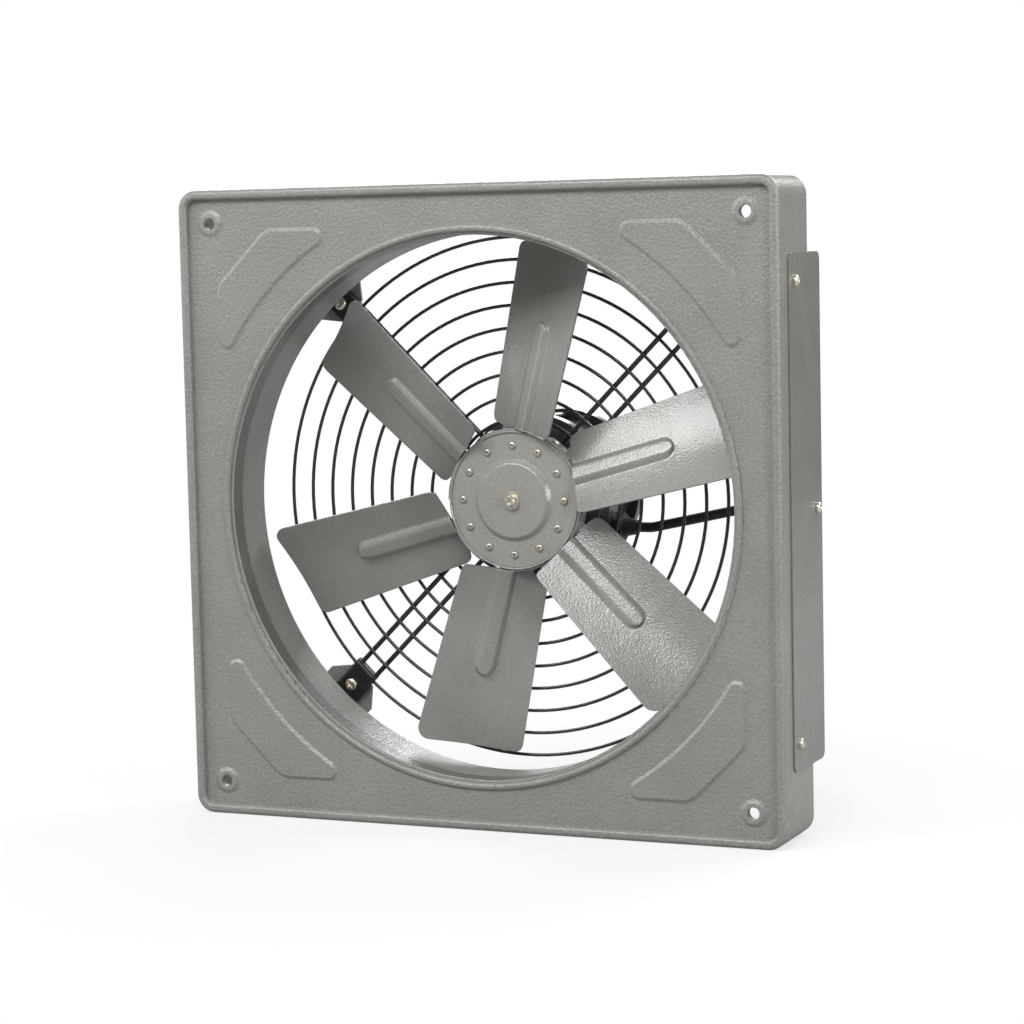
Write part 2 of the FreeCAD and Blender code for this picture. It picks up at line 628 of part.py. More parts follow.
def bolt_holes(y0, y1):
    hole = Part.makeCylinder(MOTOR_BOLT_D / 2, y1 - y0, V(MOTOR_BOLT_R, y0, 0), AXIS)
    return Part.makeCompound(ring_pattern(hole, DIAGONAL_COUNT))


def motor_front_shield():
    """Front end shield: cast cup with the bearing's seat and a thick rim, open towards the shell."""
    seat_r, bore_r, shaft_r = BEARING_D / 2 + SHIELD_WALL, BEARING_D / 2, SHAFT_D / 2 + 1
    shoulder_y, floor_y = SHIELD_Y + SHIELD_DEPTH / 2, SHIELD_Y + 1.5 * SHIELD_WALL
    body = turned_profile([(shaft_r, SHIELD_Y), (FLANGE_R, SHIELD_Y), (MOTOR_R, shoulder_y),
                           (MOTOR_R, SHELL_Y), (SHIELD_RIM_R, SHELL_Y), (SHIELD_RIM_R, shoulder_y),
                           (FLANGE_R - SHIELD_WALL, floor_y), (seat_r, floor_y), (seat_r, SHELL_Y),
                           (bore_r, SHELL_Y), (bore_r, BEARING_FRONT_Y), (shaft_r, BEARING_FRONT_Y)])
    hole = rod(STRAP_SCREW_D / 2, V(STRAP_R, SHIELD_Y, 0), V(STRAP_R, floor_y, 0))
    body = body.cut(Part.makeCompound(ring_pattern(hole, DIAGONAL_COUNT, 45)))
    return body.cut(bolt_holes(SHELL_Y - SHIELD_RIM_DEPTH, SHELL_Y))


def motor_rear_shield():
    """Rear end shield: rim for the bolts, cup with the bearing's seat, and cooling ribs on its back."""
    seat_r, bore_r = BEARING_D / 2 + SHIELD_WALL, BEARING_D / 2
    cup_r = MOTOR_BOLT_R - MOTOR_BOLT_HEX / math.sqrt(3) - SHIELD_WALL / 4
    seat_y, back_y = BEARING_REAR_Y + BEARING_WIDTH, MOTOR_REAR_Y - COOLING_RIB_H
    rim_y, floor_y, bevel = REAR_SHIELD_Y + SHIELD_RIM_DEPTH, back_y - SHIELD_WALL, SHIELD_WALL
    body = turned_profile([(bore_r, REAR_SHIELD_Y), (seat_r, REAR_SHIELD_Y), (seat_r, floor_y),
                           (cup_r - SHIELD_WALL, floor_y), (cup_r - SHIELD_WALL, REAR_SHIELD_Y),
                           (MOTOR_R, REAR_SHIELD_Y), (MOTOR_R, rim_y), (cup_r, rim_y),
                           (cup_r, back_y - bevel), (cup_r - bevel, back_y), (bore_r, back_y)])
    cap = disc(bore_r + SHIELD_WALL / 2, seat_y, back_y)
    rib = block(seat_r + COOLING_RIB_T, cup_r - 2 * bevel, back_y - SHIELD_WALL / 2, MOTOR_REAR_Y,
                -COOLING_RIB_T / 2, COOLING_RIB_T / 2)
    ribs = ring_pattern(rib, COOLING_RIBS, 180.0 / COOLING_RIBS)
    whole = body.fuse(cap).multiFuse(ribs)
    return whole.cut(bolt_holes(REAR_SHIELD_Y, rim_y)).removeSplitter()


def motor_shell():
    """Rolled shell between the end shields, with a flat pad for the lead's gland."""
    inside = disc(SHELL_R - MOTOR_SHELL, SHELL_Y, REAR_SHIELD_Y)
    place, pad_half = lead_motor_place(), GLAND_HEX / 2
    pad = block(SHELL_R - 2 * pad_half, place.x, place.y - pad_half, place.y + pad_half,
                place.z - pad_half, place.z + pad_half)
    hole = rod(GLAND_D / 2, V(0, place.y, place.z), place)
    return disc(SHELL_R, SHELL_Y, REAR_SHIELD_Y).fuse(pad).cut(inside).cut(hole).removeSplitter()


def motor_bolts():
    """Bolts outside the shell that draw the two end shields together."""
    front_y, seat_y = SHELL_Y - SHIELD_RIM_DEPTH, REAR_SHIELD_Y + SHIELD_RIM_DEPTH
    head = hexagon(MOTOR_BOLT_HEX, MOTOR_BOLT_HEAD_H)
    one = fastener(V(MOTOR_BOLT_R, seat_y, 0), V(0, 1, 0), head, MOTOR_BOLT_D, seat_y - front_y)
    return ring_pattern(one, DIAGONAL_COUNT)


def stator():
    """Laminated core with the end turns of its winding standing out at both ends."""
    bore, core_r = ROTOR_R + AIR_GAP, SHELL_R - MOTOR_SHELL
    inner, outer = bore + TOOTH_TIP, core_r - CORE_YOKE
    front, rear = CORE_Y, CORE_Y + CORE_LENGTH
    front_end, rear_end = front - WINDING_OVERHANG, rear + WINDING_OVERHANG
    return turned_profile([(bore, front), (inner, front), (inner + WINDING_BEVEL, front_end),
                           (outer - WINDING_BEVEL, front_end), (outer, front), (core_r, front),
                           (core_r, rear), (outer, rear), (outer - WINDING_BEVEL, rear_end),
                           (inner + WINDING_BEVEL, rear_end), (inner, rear), (bore, rear)])


def bearing(y):
    """Deep-groove bearing with recessed shields between its races."""
    bore = SHAFT_D / 2 + SHAFT_RUNNING
    outer = BEARING_D / 2
    race = (outer - bore) / 4
    y1, dip = y + BEARING_WIDTH, BEARING_WIDTH / 12
    return turned_profile([(bore, y), (bore + race, y), (bore + race, y + dip), (outer - race, y + dip),
                           (outer - race, y), (outer, y), (outer, y1), (outer - race, y1),
                           (outer - race, y1 - dip), (bore + race, y1 - dip), (bore + race, y1),
                           (bore, y1)])


def shaft():
    """Stepped shaft: nose in the hub boss, journals in the bearings, threaded hole in its front end."""
    nose, journal = SHAFT_NOSE_D / 2, SHAFT_D / 2
    front_y, step_y = PLATE_Y + HUB_SHEET + SEAT_GAP, FLANGE_Y
    rear_y = BEARING_REAR_Y + BEARING_WIDTH
    body = turned_profile([(0, front_y), (nose, front_y), (nose, step_y), (journal, step_y),
                           (journal, rear_y), (0, rear_y)])
    return body.cut(disc(HUB_BOLT_D / 2, front_y, front_y + 3 * HUB_BOLT_D))


def rotor():
    bore = SHAFT_D / 2
    return disc(ROTOR_R, CORE_Y, CORE_Y + CORE_LENGTH, bore)


def hub_drum():
    """Pressed drum: side wall with a rolled front edge, rear web, and a boss on the shaft."""
    nose = SHAFT_NOSE_D / 2
    wall = HUB_R - HUB_SHEET
    web_y = HUB_REAR_Y - HUB_SHEET
    boss_front = PLATE_Y + HUB_SHEET + SEAT_GAP
    body = turned_profile([(nose, boss_front), (HUB_BOSS_R, boss_front), (HUB_BOSS_R, web_y), (wall, web_y),
                           (wall, HUB_FRONT_Y + HUB_SHEET / 2), (wall + HUB_SHEET / 2, HUB_FRONT_Y),
                           (HUB_R - HUB_SHEET / 4, HUB_FRONT_Y), (HUB_R, HUB_FRONT_Y + HUB_SHEET / 4),
                           (HUB_R, HUB_REAR_Y), (nose, HUB_REAR_Y)])
    posts = ring_pattern(Part.makeCylinder(HUB_SCREW_HEAD_D / 2, web_y - PLATE_Y - HUB_SHEET - SEAT_GAP,
                                           V(HUB_SCREW_R, PLATE_Y + HUB_SHEET + SEAT_GAP, 0), AXIS),
                         HUB_SCREW_COUNT)
    holes = ring_pattern(rod(HUB_SCREW_HEAD_D / 4, V(HUB_SCREW_R, PLATE_Y, 0), V(HUB_SCREW_R, web_y, 0)),
                         HUB_SCREW_COUNT)
    rivet_hole = rod(RIVET_D / 2, V(wall - 1, rivet_y(), 0), V(HUB_R + 1, rivet_y(), 0))
    rivet_holes = [turned(rivet_hole, a) for a in rivet_angles()]
    return body.multiFuse(posts).cut(Part.makeCompound(holes + rivet_holes)).removeSplitter()


def hub_front_plate():
    """Pressed front plate with a raised disc in its middle."""
    outer = HUB_R - HUB_SHEET - SEAT_GAP
    back = PLATE_Y + HUB_SHEET
    bore = HUB_BOLT_D / 2
    disc_back = DISC_Y + HUB_SHEET
    plate = turned_profile([(bore, DISC_Y), (PLATE_DISC_R, DISC_Y), (PLATE_STEP_R, PLATE_Y),
                            (outer, PLATE_Y), (outer, back), (PLATE_STEP_R - HUB_SHEET, back),
                            (PLATE_DISC_R - HUB_SHEET, disc_back), (bore, disc_back)])
    disc_edge = [e for e in edges_at(plate, DISC_Y) if abs(e.Curve.Radius - PLATE_DISC_R) < 1e-6]
    plate = plate.makeFillet(PLATE_EDGE_R, disc_edge)
    spacer = turned_profile([(bore, disc_back), (HUB_BOSS_R, disc_back), (HUB_BOSS_R, back), (bore, back)])
    hole = rod(HUB_SCREW_HEAD_D / 4, V(HUB_SCREW_R, PLATE_Y, 0), V(HUB_SCREW_R, back, 0))
    return plate.fuse(spacer).cut(Part.makeCompound(ring_pattern(hole, HUB_SCREW_COUNT))).removeSplitter()


def hub_screws():
    one = fastener(V(HUB_SCREW_R, PLATE_Y, 0), V(0, -1, 0), round_head(HUB_SCREW_HEAD_D, HUB_SCREW_HEAD_H),
                   HUB_SCREW_HEAD_D / 2, 3 * HUB_SCREW_HEAD_D / 2)
    return ring_pattern(one, HUB_SCREW_COUNT)


def hub_washer():
    return disc(HUB_WASHER_D / 2, DISC_Y - HUB_WASHER_H, DISC_Y, HUB_BOLT_D / 2)


def hub_bolt():
    """Centre bolt into the shaft's end, with a chamfered round head and a hexagon socket."""
    seat_y = DISC_Y - HUB_WASHER_H
    radius, rim = HUB_BOLT_HEAD_D / 2, HUB_BOLT_HEAD_D / 10
    top = seat_y - HUB_BOLT_HEAD_H
    thread_end = PLATE_Y + HUB_SHEET + SEAT_GAP + 2.5 * HUB_BOLT_D
    body = turned_profile([(0, top), (radius - rim, top), (radius, top + rim), (radius, seat_y),
                           (HUB_BOLT_D / 2, seat_y), (HUB_BOLT_D / 2, thread_end), (0, thread_end)])
    socket_r = HUB_BOLT_HEAD_D / 4
    points = [at(socket_r, 60 * i, top) for i in range(7)]
    return body.cut(Part.Face(Part.makePolygon(points)).extrude(V(0, HUB_BOLT_HEAD_H / 2, 0)))


def rivet_y():
    return (FOOT_FRONT_Y + FOOT_REAR_Y) / 2


def rivet_angles():
    """Two rivets in each blade foot."""
    return [BLADE_FIRST_DEG + FOOT_SHIFT_DEG + 360.0 * i / BLADE_COUNT + side * RIVET_SPREAD_DEG / 2
            for i in range(BLADE_COUNT) for side in (-1, 1)]


def blade_rivets():
    outer = HUB_R + SEAT_GAP + FOOT_SHEET
    one = fastener(V(outer, rivet_y(), 0), V(1, 0, 0), round_head(RIVET_HEAD_D, RIVET_HEAD_H), RIVET_D,
                   outer - HUB_R + 1.5 * HUB_SHEET)
    return [turned(one, a) for a in rivet_angles()]


def blend(a, b, share):
    return a + (b - a) * share


def blade_point(radius, u, out):
    """Point of a blade standing along +X: u from mid-chord to the rear edge, out to its front face."""
    share = (radius - BLADE_ROOT_R) / (BLADE_TIP_R - BLADE_ROOT_R)
    half_chord = blend(BLADE_ROOT_CHORD, BLADE_TIP_CHORD, share) / 2
    pitch = math.radians(blend(BLADE_ROOT_PITCH_DEG, BLADE_TIP_PITCH_DEG, share))
    bow = blend(BLADE_ROOT_BOW, BLADE_TIP_BOW, share) * (1 - (u / half_chord) ** 2)
    depth = bow - out
    across = blend(BLADE_ROOT_SHIFT, 0, share) + u * math.cos(pitch) - depth * math.sin(pitch)
    back = blend(BLADE_ROOT_Y, BLADE_TIP_Y, share) + u * math.sin(pitch) + depth * math.cos(pitch)
    return V(radius, back, across)


def sheet_section(radius, stations, lift):
    """Closed section of the blade's sheet: smooth curves led by places across the chord and their lift."""
    front = [blade_point(radius, u, h + BLADE_SHEET / 2) for u, h in zip(stations, lift)]
    rear = [blade_point(radius, u, h - BLADE_SHEET / 2) for u, h in zip(stations, lift)]
    curves = []
    for poles in (front, rear[::-1]):
        curve = Part.BSplineCurve()
        curve.buildFromPoles(poles, False, 3)
        curves.append(curve.toShape())
    return Part.Wire([curves[0], Part.LineSegment(front[-1], rear[-1]).toShape(), curves[1],
                      Part.LineSegment(rear[0], front[0]).toShape()])


def blade_section(radius):
    """Section across the whole chord, with the pressed rib in its middle."""
    share = (radius - BLADE_ROOT_R) / (BLADE_TIP_R - BLADE_ROOT_R)
    half_chord = blend(BLADE_ROOT_CHORD, BLADE_TIP_CHORD, share) / 2
    tip_gap, root_draw = BLADE_TIP_R - radius, corner_draw(radius - BLADE_ROOT_R, BLADE_ROOT_CORNER_R)
    start = -half_chord + corner_draw(tip_gap, BLADE_FRONT_CORNER_R) + root_draw / 2
    end = half_chord - corner_draw(tip_gap, BLADE_REAR_CORNER_R) - root_draw
    width, height = rib_size(radius)
    flat, toe = width * (1 - 2 * RIB_SLOPE / RIB_WIDTH), RIB_SLOPE / 4
    stations = [start, blend(start, -width, 0.35), blend(start, -width, 0.7), -width - toe, -width,
                -flat, -flat / 2, flat / 2, flat,
                width, width + toe, blend(end, width, 0.7), blend(end, width, 0.35), end]
    return sheet_section(radius, stations, [0] * 5 + [height] * 4 + [0] * 5)


def tongue_section(radius):
    """Section of the tongue, which runs on from the blade behind its rib; as many places as the blade's."""
    first, places = RIB_WIDTH / 2, 14
    stations = [first + TONGUE_WIDTH * i / (places - 1) for i in range(places)]
    return sheet_section(radius, stations, [0] * places)


def corner_draw(gap, corner_r):
    """How far an edge draws in, at a gap from the end of a round corner."""
    if gap >= corner_r:
        return 0.0
    return corner_r - math.sqrt(corner_r ** 2 - (corner_r - gap) ** 2)


def rib_size(radius):
    """Half width and height of the pressed rib, which has a round end."""
    gap, half = RIB_END_R - radius, RIB_WIDTH / 2
    if gap >= half:
        return half, RIB_HEIGHT
    if gap < 0:
        return half, 0.0
    width = math.sqrt(half ** 2 - (half - gap) ** 2)
    return max(width, half / 8), RIB_HEIGHT * min(1.0, width / RIB_SLOPE)


def blade():
    """Blade standing along +X, with a tongue behind its rib that runs down to a foot on the hub drum."""
    end = RIB_WIDTH / 2
    front_start, rear_start = BLADE_TIP_R - BLADE_FRONT_CORNER_R, BLADE_TIP_R - BLADE_REAR_CORNER_R
    radii = [BLADE_ROOT_R + BLADE_ROOT_CORNER_R * s for s in (0.0, 0.1, 0.35, 1.0)]
    radii += [blend(BLADE_ROOT_R, RIB_END_R, 0.5)]
    radii += [RIB_END_R - end * s for s in (1.0, 0.75, 0.5, 0.3, 0.15, 0.05, 0.0)] + [RIB_END_R + end]
    radii += [front_start, blend(front_start, rear_start, 0.5), rear_start]
    radii += [BLADE_TIP_R - BLADE_REAR_CORNER_R * s for s in (0.5, 0.2, 0.05, 0.0)]
    tongue = [tongue_section(r) for r in (BLADE_ROOT_R - TONGUE_REACH, BLADE_ROOT_R - BLADE_SHEET / 2)]
    body = Part.makeLoft(tongue + [blade_section(r) for r in radii], True, True)
    inner = HUB_R + SEAT_GAP
    wedge = turned_profile([(inner, FOOT_FRONT_Y), (inner + FOOT_SHEET, FOOT_FRONT_Y),
                            (inner + FOOT_SHEET, FOOT_REAR_Y), (inner, FOOT_REAR_Y)])
    reach = HUB_R * math.tan(math.radians(FOOT_SPAN_DEG / 2))
    foot = wedge.common(block(0, 2 * HUB_R, FOOT_FRONT_Y, FOOT_REAR_Y, -reach, reach))
    holes = [turned(rod(RIVET_D / 2, V(HUB_R, rivet_y(), 0), V(HUB_R + RIVET_HEAD_D, rivet_y(), 0)), a)
             for a in (-RIVET_SPREAD_DEG / 2, RIVET_SPREAD_DEG / 2)]
    foot = turned(foot.cut(Part.makeCompound(holes)), FOOT_SHIFT_DEG)
    whole = body.fuse(foot).cut(disc(inner, 0, 2 * HUB_FRONT_Y))
    return whole.removeSplitter()


def numbered(name, shapes):
    return {"%s_%d" % (name, i + 1): s for i, s in enumerate(shapes)}


def group(shapes):
    return Part.makeCompound(shapes)


def build():
    """All sub-parts by node name."""
    parts = {
        "frame_panel": frame_panel(),
        "throat_ring": throat_ring(),
        "side_cover": side_cover(),
        "cover_screws": group(cover_screws()),
        "terminal_box": terminal_box(),
        "terminal_block": terminal_block(),
        "supply_gland": gland(supply_place(), V(0, 0, -1)),
        "box_gland": gland(lead_box_place(), V(0, 1, 0)),
        "motor_gland": gland(lead_motor_place(), V(1, 0, 0)),
        "guard_rings": group(guard_rings()),
        "support_bars": group(support_bars()),
        "clamp_screws": group(clamp_screws()),
        "motor_flange": motor_flange(),
        "strap_screws": group(strap_screws()),
        "motor_front_shield": motor_front_shield(),
        "motor_shell": motor_shell(),
        "motor_rear_shield": motor_rear_shield(),
        "motor_bolts": group(motor_bolts()),
        "stator": stator(),
        "front_bearing": bearing(BEARING_FRONT_Y),
        "rear_bearing": bearing(BEARING_REAR_Y),
        "shaft": shaft(),
        "rotor": rotor(),
        "hub_drum": hub_drum(),
        "hub_front_plate": hub_front_plate(),
        "hub_screws": group(hub_screws()),
        "hub_washer": hub_washer(),
        "hub_bolt": hub_bolt(),
        "blade_rivets": group(blade_rivets()),
        "motor_lead": motor_lead(),
    }
    parts.update(numbered("guard_bracket", ring_pattern(guard_bracket(), DIAGONAL_COUNT, 45)))
    parts.update(numbered("bar_clamp", ring_pattern(bar_clamp(), DIAGONAL_COUNT, 45)))
    parts.update(numbered("bar_strap", ring_pattern(bar_strap(), DIAGONAL_COUNT, 45)))
    parts.update(numbered("blade", ring_pattern(blade(), BLADE_COUNT, BLADE_FIRST_DEG)))
    return parts


os.makedirs("parts", exist_ok=True)
for node, shape in build().items():
    shape.exportStep("parts/%s.step" % node)
    print(node, "solids", len(shape.Solids), "valid", shape.isValid(), "volume %.0f" % shape.Volume)
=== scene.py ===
"""Looks of the industrial exhaust fan: finishes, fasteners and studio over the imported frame.

Metres, in the frame's own axes: X to the right, Y from the front face to the rear, Z up.
Sizes of finishes, fasteners and weld beads are in millimetres.
"""

import json
import math
import random

import bpy
from mathutils import Matrix, Vector


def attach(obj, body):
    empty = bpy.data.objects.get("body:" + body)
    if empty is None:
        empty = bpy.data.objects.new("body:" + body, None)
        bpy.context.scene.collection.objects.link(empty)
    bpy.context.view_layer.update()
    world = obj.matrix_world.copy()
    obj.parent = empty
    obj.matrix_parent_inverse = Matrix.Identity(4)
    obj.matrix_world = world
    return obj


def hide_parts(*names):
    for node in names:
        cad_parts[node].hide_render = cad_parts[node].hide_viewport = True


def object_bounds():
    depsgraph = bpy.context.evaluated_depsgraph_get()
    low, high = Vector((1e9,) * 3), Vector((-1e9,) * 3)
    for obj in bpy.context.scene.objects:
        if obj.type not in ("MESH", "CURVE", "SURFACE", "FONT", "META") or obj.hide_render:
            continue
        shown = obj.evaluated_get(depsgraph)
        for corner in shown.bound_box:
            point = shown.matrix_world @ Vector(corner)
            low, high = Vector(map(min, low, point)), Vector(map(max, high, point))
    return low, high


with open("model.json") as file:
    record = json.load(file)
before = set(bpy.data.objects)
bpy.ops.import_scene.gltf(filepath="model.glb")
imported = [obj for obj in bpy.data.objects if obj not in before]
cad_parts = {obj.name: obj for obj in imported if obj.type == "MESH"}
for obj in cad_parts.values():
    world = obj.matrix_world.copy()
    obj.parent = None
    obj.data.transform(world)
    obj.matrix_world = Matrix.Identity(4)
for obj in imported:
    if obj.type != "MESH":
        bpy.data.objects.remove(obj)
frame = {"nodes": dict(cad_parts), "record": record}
cad_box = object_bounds()
NODES = frame["nodes"]
MM_PER_M = 1000.0

# Camera: where the photograph was taken from, in degrees and metres
CAMERA_AZIMUTH = 23.57
CAMERA_ELEVATION = 5.59
CAMERA_ROLL = -1.28
CAMERA_DISTANCE = 2.043
CAMERA_TARGET = Vector((0.0323, -0.0034, -0.0005))
CAMERA_LENS_MM = 100.2
SENSOR_MM = 36.0

# Studio: strengths where 1 shows as white, greys of the floor, and distances from its middle
AMBIENT = 0.17
FLOOR_HALF = 8.0
FLOOR_GREY, FLOOR_GLOW = (0.21, 0.21, 0.21, 1), 0.685
FLOOR_BOUNCE = (0.38, 0.38, 0.38, 1)
FLOOR_FADE = (0.34, 0.56)
WHITE, WHITE_STRENGTH = (1, 1, 1, 1), 1.0

# Lamps: name, place, width and height, and watts; all of them face the middle of the fan
LAMPS = (
    ("key", (-0.3, -1.45, 1.45), (2.3, 0.75), 49),
    ("left", (-2.0, -0.75, 0.8), (0.8, 1.3), 16),
    ("side", (2.1, 0.1, 0.75), (0.9, 1.2), 19),
    ("fill", (2.0, -1.2, 0.4), (0.6, 0.9), 15),
    ("rear", (1.0, 1.6, 1.4), (1.2, 0.8), 31),
    ("rear_left", (-0.9, 1.9, 0.9), (1.2, 0.9), 22),
)

# Colours, linear; a tint is what plated metal plays into
PAINT_GREY = (0.221, 0.217, 0.202)
BLADE_GREY = (0.260, 0.255, 0.238)
SOOT_BLACK = (0.013, 0.013, 0.014)
YELLOW_ZINC, YELLOW_ZINC_TINT = (0.8, 0.72, 0.52), (0.86, 0.84, 0.78)
GREY_ZINC, GREY_ZINC_TINT = (0.44, 0.43, 0.4), (0.56, 0.52, 0.42)
CAST_GREY = (0.36, 0.36, 0.35)
STEEL_GREY = (0.45, 0.44, 0.43)
# Tone factors; the cover's is painted shade on the panel paint
COVER_PAINTED_SHADE, MOTOR_SHADE, GLAND_SHADE = 0.76, 2.6, 2.0

# Patterns: the range of a noise that makes clouds, and how far a normal turns to count as an edge
CLOUD_RANGE = (0.3, 0.7)
EDGE_RANGE = (0.98, 0.8)
BEVEL_SAMPLES = 6

# Sprayed paint; a tone is a share of the paint's own colour
PAINT_CLOUD_MM, PAINT_CLOUD_TONES = 60.0, (0.92, 1.08)
PEBBLE_DETAIL, PEBBLE_ROUGH = 2.5, 0.55
# Pebbles: darker in the pits and lighter on the crests, partly the paint's own speckle and partly
# painted shade and painted highlight on the bumps
PIT_RANGE, PIT_MIX, PIT_SHADE_TONE = (0.5, 0.28), (0.0, 0.6), 0.75
CREST_RANGE, CREST_MIX, CREST_HIGHLIGHT_TONE = (0.52, 0.75), (0.0, 0.5), 1.3
# Chips on the edges, lighter: partly real wear and partly painted highlight along the edges
CHIP_MM, CHIP_RANGE, CHIP_LEAST, CHIP_AND_HIGHLIGHT_TONE = 4.0, (0.4, 0.65), 0.05, 1.6
DULL_MM, DULL_LESS, DULL_MORE = 22.0, 0.05, 0.08
WAVE_MM, WAVE_DEPTH_MM = 35.0, 0.35
COAT_PEEL = 0.45

# Painted shade: in the throat between two radii and two depths, where the flange's wall lies in
# shade, and along the blades between two radii, where the hub and the blades shade their roots
PAINTED_SHADE_TONE = 0.4
THROAT_SHADE, THROAT_SHADE_MIX, THROAT_SOFT_MM = (190.0, 199.0, 3.2, 17.0), 0.85, 0.4
ROOT_SHADE, ROOT_SHADE_MIX, ROOT_SOFT_MM = (53.8, 105.0), 0.75, 0.2
ROOT_CLOUD_MM, ROOT_CLOUD_VALUES = 30.0, (0.5, 1.0)

# Bare or plated metal
METAL_EDGE_MM, METAL_EDGE_MIX, METAL_EDGE_TONE = 0.3, 0.5, 1.3
METAL_CLOUD_MM, METAL_CLOUD_TONES = 3.0, (0.75, 1.1)
METAL_DULL_LESS, METAL_DULL_MORE = 0.06, 0.1

# Moulded plastic and rubber
PLASTIC_EDGE_MM, PLASTIC_EDGE_MIX, PLASTIC_EDGE_TONE = 0.4, 0.4, 4.0
PLASTIC_CLOUD_MM, PLASTIC_CLOUD_TONES = 20.0, (0.8, 1.4)
PLASTIC_DULL_MM, PLASTIC_DULL_LESS, PLASTIC_DULL_MORE = 5.0, 0.06, 0.08
PLASTIC_GRAIN_MM, PLASTIC_GRAIN_DEPTH_MM = 0.7, 0.03

# Fasteners: head diameter and height, shank diameter and length
COVER_SCREW = (7.8, 3.6, 4.0, 10.0)
CLAMP_SCREW = (9.5, 3.0, 5.0, 11.0)
STRAP_SCREW = (7.0, 2.2, 4.0, 13.0)
HUB_SCREW = (5.6, 1.8, 2.8, 8.4)
BLADE_RIVET = (7.0, 1.4, 4.0, 3.8)

# Pan heads: rows of the dome as shares of its radius; straight side and foot as shares of its size
DOME_ROWS = (0.06, 0.12, 0.18, 0.24, 0.3, 0.36, 0.42, 0.48, 0.54, 0.62, 0.7, 0.78, 0.86, 0.92, 0.97)
HEAD_SIDE, HEAD_FOOT, HEAD_FOOT_R = 0.42, 0.12, 0.97
# Cross recess: arm and half width as shares of the head's radius, depth as a share of its height
RECESS_ARM, RECESS_HALF, RECESS_DEPTH = 0.54, 0.13, 0.62
RECESS_WALL, RECESS_SLOPE = 0.5, 0.6
# Shanks: thread and bevel as shares of the shank's diameter
THREAD_PITCH, THREAD_CORE_R, THREAD_TIP_R, LEAST_TURNS = 0.175, 0.42, 0.3, 2
CORE_AT, CREST_AT = 0.25, 0.75
RIVET_BEVEL = 0.1
FASTENER_SECTORS = 64
SHARP_DEG = 38

# Places of the fasteners, in millimetres and degrees
COVER_FACE_X = 236.2
COVER_SCREWS = ((27.0, 161.5), (73.0, -1.0), (27.0, -163.5))
CLAMP_SCREW_R, CLAMP_FACE_Y = 208.5, 89.9
STRAP_SCREW_R, STRAP_FACE_Y = 39.0, 94.8
HUB_SCREW_R, HUB_PLATE_Y, HUB_SCREW_COUNT = 41.0, 74.0, 12
RIVET_R, RIVET_Y, RIVET_FIRST_DEG, RIVET_SPREAD_DEG = 53.6, 81.5, 38.0, 30.0
BLADE_COUNT = 6

# Wire guard, in millimetres
RING_COUNT, RING_INNER_R, RING_OUTER_R = 9, 60.0, 196.0
BAR_OFFSET, WELD_Y = 7.75, 96.85

# Weld beads: rows of the lump, then the limits of its radius and of its unevenness, and its depth
LUMP_ROWS = ((0.35, 0.75), (0.7, 0.6), (0.95, 0.25), (1.0, 0.0), (0.9, -0.35), (0.5, -0.7))
LUMP_SECTORS = 14
WELD_R, WELD_UNEVEN, WELD_DEPTH = (1.7, 2.1), (0.92, 1.0), 1.3
WELD_SEED = 5

DIAGONALS = (45.0, 135.0, 225.0, 315.0)
RIGHT, FRONT, REAR = (1, 0, 0), (0, -1, 0), (0, 1, 0)
FULL_TURN, QUARTER_TURN = 360.0, 90


def shader(name):
    """New node material, with its node tree and its principled shader."""
    material = bpy.data.materials.new(name)
    material.use_nodes = True
    tree = material.node_tree
    return material, tree, tree.nodes["Principled BSDF"]


def add(tree, kind, **values):
    """New node with its properties and input values set by name."""
    node = tree.nodes.new(kind)
    for key, value in values.items():
        if key in node.inputs:
            node.inputs[key].default_value = value
        else:
            setattr(node, key, value)
    return node


def place_in_frame(tree):
    """Place of a surface point in the frame's own axes."""
    return add(tree, "ShaderNodeTexCoord").outputs["Object"]


def noise(tree, size_mm, detail, rough=0.5):
    """Cloudy 0 to 1 pattern whose features are about that size."""
    node = add(tree, "ShaderNodeTexNoise", Scale=MM_PER_M / size_mm, Detail=detail, Roughness=rough)
    tree.links.new(place_in_frame(tree), node.inputs["Vector"])
    return node.outputs["Fac"]


def ramp(tree, source, limits, colours):
    """A pattern turned into a colour between two others."""
    node = add(tree, "ShaderNodeValToRGB")
    ends = node.color_ramp.elements[0], node.color_ramp.elements[-1]
    for end, position, colour in zip(ends, limits, colours):
        end.position, end.color = position, (*colour, 1)
    tree.links.new(source, node.inputs["Fac"])
    return node.outputs["Color"]


def span(tree, source, limits, values):
    """A pattern turned into a value between two others."""
    node = add(tree, "ShaderNodeMapRange")
    node.inputs["From Min"].default_value, node.inputs["From Max"].default_value = limits
    node.inputs["To Min"].default_value, node.inputs["To Max"].default_value = values
    tree.links.new(source, node.inputs["Value"])
    return node.outputs["Result"]


def mixed(tree, factor, first, colour):
    """A pattern of colour mixed with a plain colour."""
    node = add(tree, "ShaderNodeMix", data_type="RGBA")
    tree.links.new(factor, node.inputs["Factor"])
    tree.links.new(first, node.inputs["A"])
    node.inputs["B"].default_value = (*colour, 1)
    return node.outputs["Result"]


def mixed_shaders(tree, factor, first, second):
    """The first shader where the factor is 0, and the second where it is 1."""
    node = add(tree, "ShaderNodeMixShader")
    for i, source in enumerate((factor, first, second)):
        tree.links.new(source, node.inputs[i])
    return node.outputs["Shader"]


def maths(tree, operation, first, second):
    """Result of one operation on two values; either may be a number."""
    node = add(tree, "ShaderNodeMath", operation=operation)
    for i, value in enumerate((first, second)):
        if isinstance(value, (int, float)):
            node.inputs[i].default_value = value
        else:
            tree.links.new(value, node.inputs[i])
    return node.outputs["Value"]


